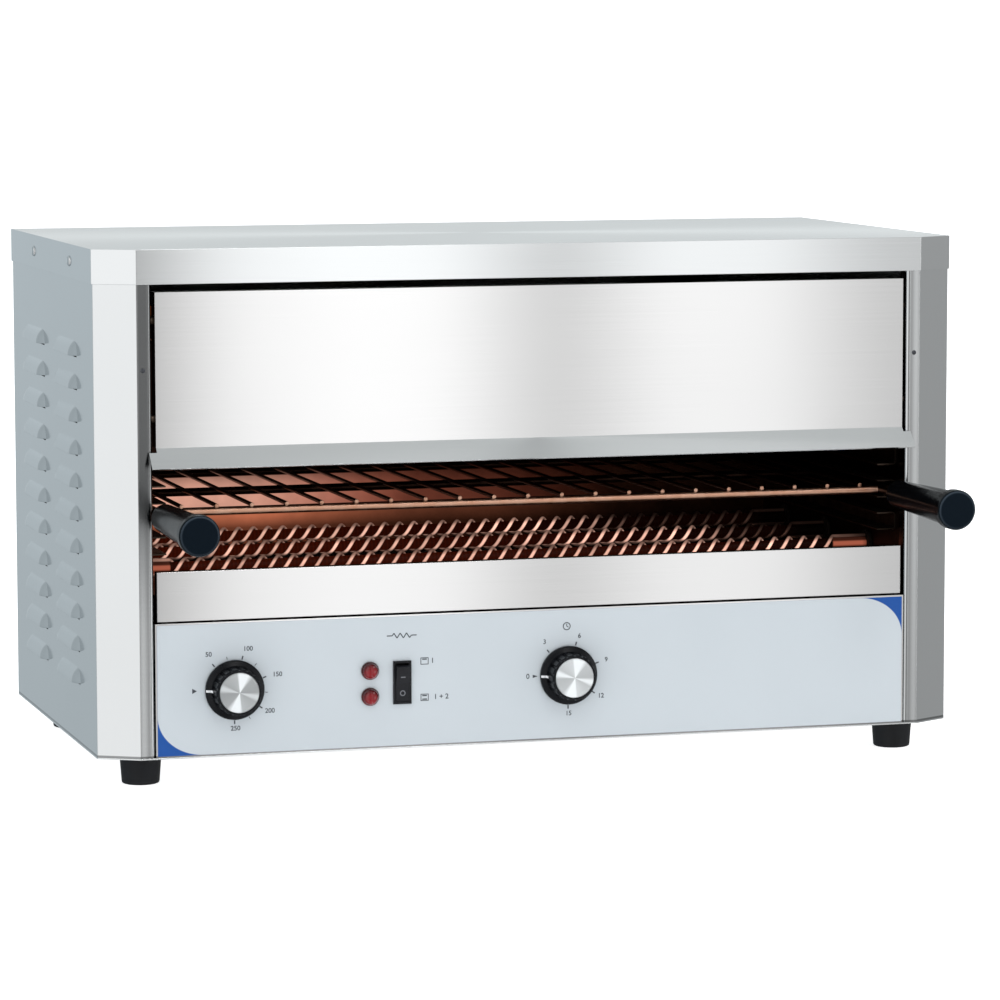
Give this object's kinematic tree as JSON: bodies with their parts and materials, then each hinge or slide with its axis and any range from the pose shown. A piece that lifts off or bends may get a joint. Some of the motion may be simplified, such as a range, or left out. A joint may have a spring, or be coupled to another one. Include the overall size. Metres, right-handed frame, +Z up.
{
  "type": "salamander grill",
  "caption": "Countertop salamander toaster grill: open-front steel cabinet with sliding wire rack on runners, guarded tube elements, crumb tray, thermostat, timer and rocker switch.",
  "frame": {"origin": "on the table under the middle of the whole object's box, handles and cable gland included", "axes": "+X to the right seen from the front, +Y to the back, +Z up"},
  "size_m": [0.6476, 0.4706, 0.38],
  "materials": {
    "cover_steel": "brushed",
    "side_steel": "fine brushed",
    "plain_steel": "satin",
    "liner_steel": "heat-tinted satin",
    "overlay_print": "printed satin film",
    "runner_steel": "satin",
    "rack_chrome": "bright plated",
    "quartz_tube": "milky quartz",
    "guard_wire": "heat-tinted wire",
    "bush_ceramic": "matte",
    "terminal_brass": "plain",
    "control_body": "moulded",
    "zinc_steel": "zinc plated",
    "capillary_copper": "drawn copper",
    "switch_black": "moulded gloss",
    "lamp_red": "translucent",
    "terminal_nylon": "moulded",
    "gland_nylon": "moulded",
    "foot_rubber": "matte",
    "handle_black": "moulded satin",
    "knob_black": "moulded gloss",
    "cap_aluminium": "spun"
  },
  "bodies": {
    "cabinet": {"top_cover": "cover_steel", "hood_panel": "cover_steel", "left_side_panel": "side_steel", "right_side_panel": "side_steel", "back_panel": "plain_steel", "base_plate": "plain_steel", "control_panel": "plain_steel", "left_liner": "liner_steel", "right_liner": "liner_steel", "back_liner": "liner_steel", "roof_reflector": "liner_steel", "shelf_plate": "liner_steel", "control_overlay": "overlay_print", "left_runners": "runner_steel", "right_runners": "runner_steel", "bulb_clips": "runner_steel", "lower_tube_1": "quartz_tube", "lower_tube_2": "quartz_tube", "lower_tube_3": "quartz_tube", "upper_tube_1": "quartz_tube", "upper_tube_2": "quartz_tube", "upper_tube_3": "quartz_tube", "lower_guard_1": "guard_wire", "lower_guard_2": "guard_wire", "lower_guard_3": "guard_wire", "element_bushes": "bush_ceramic", "terminal_pins": "terminal_brass", "thermostat_body": "control_body", "timer_body": "control_body", "thermostat_bulb": "zinc_steel", "control_nuts": "zinc_steel", "lamp_nuts": "zinc_steel", "foot_screws": "zinc_steel", "foot_nuts": "zinc_steel", "cover_screws": "zinc_steel", "back_screws": "zinc_steel", "hood_screws": "zinc_steel", "post_rivets": "zinc_steel", "capillary_tube": "capillary_copper", "switch_housing": "switch_black", "upper_lamp": "lamp_red", "lower_lamp": "lamp_red", "terminal_block": "terminal_nylon", "cable_gland": "gland_nylon", "gland_nut": "gland_nylon", "front_left_foot": "foot_rubber", "front_right_foot": "foot_rubber", "rear_left_foot": "foot_rubber", "rear_right_foot": "foot_rubber"},
    "rack": {"rack_grid": "rack_chrome", "left_handle": "handle_black", "right_handle": "handle_black"},
    "tray": {"crumb_tray": "cover_steel"},
    "thermostat_dial": {"thermostat_knob": "knob_black", "thermostat_cap": "cap_aluminium", "thermostat_shaft": "zinc_steel"},
    "timer_dial": {"timer_knob": "knob_black", "timer_cap": "cap_aluminium", "timer_shaft": "zinc_steel"},
    "switch_rocker": {"rocker": "switch_black"}
  },
  "joints": [
    {"name": "rack_slide", "type": "slide", "parent": "cabinet", "child": "rack", "axis": [0, -1, 0], "range_m": [0, 0.2]},
    {"name": "tray_slide", "type": "slide", "parent": "cabinet", "child": "tray", "axis": [0, -1, 0], "range_m": [0, 0.25]},
    {"name": "thermostat_turn", "type": "hinge", "parent": "cabinet", "child": "thermostat_dial", "pos_m": [-0.22364, -0.11565, 0.0689], "axis": [0, 1, 0], "range_deg": [0, 270]},
    {"name": "timer_turn", "type": "hinge", "parent": "cabinet", "child": "timer_dial", "pos_m": [0.0223, -0.11565, 0.0689], "axis": [0, 1, 0], "range_deg": [0, 270]},
    {"name": "rocker_tilt", "type": "hinge", "parent": "cabinet", "child": "switch_rocker", "pos_m": [-0.10144, -0.11405, 0.0689], "axis": [-1, 0, 0], "range_deg": [0, 20]}
  ]
}
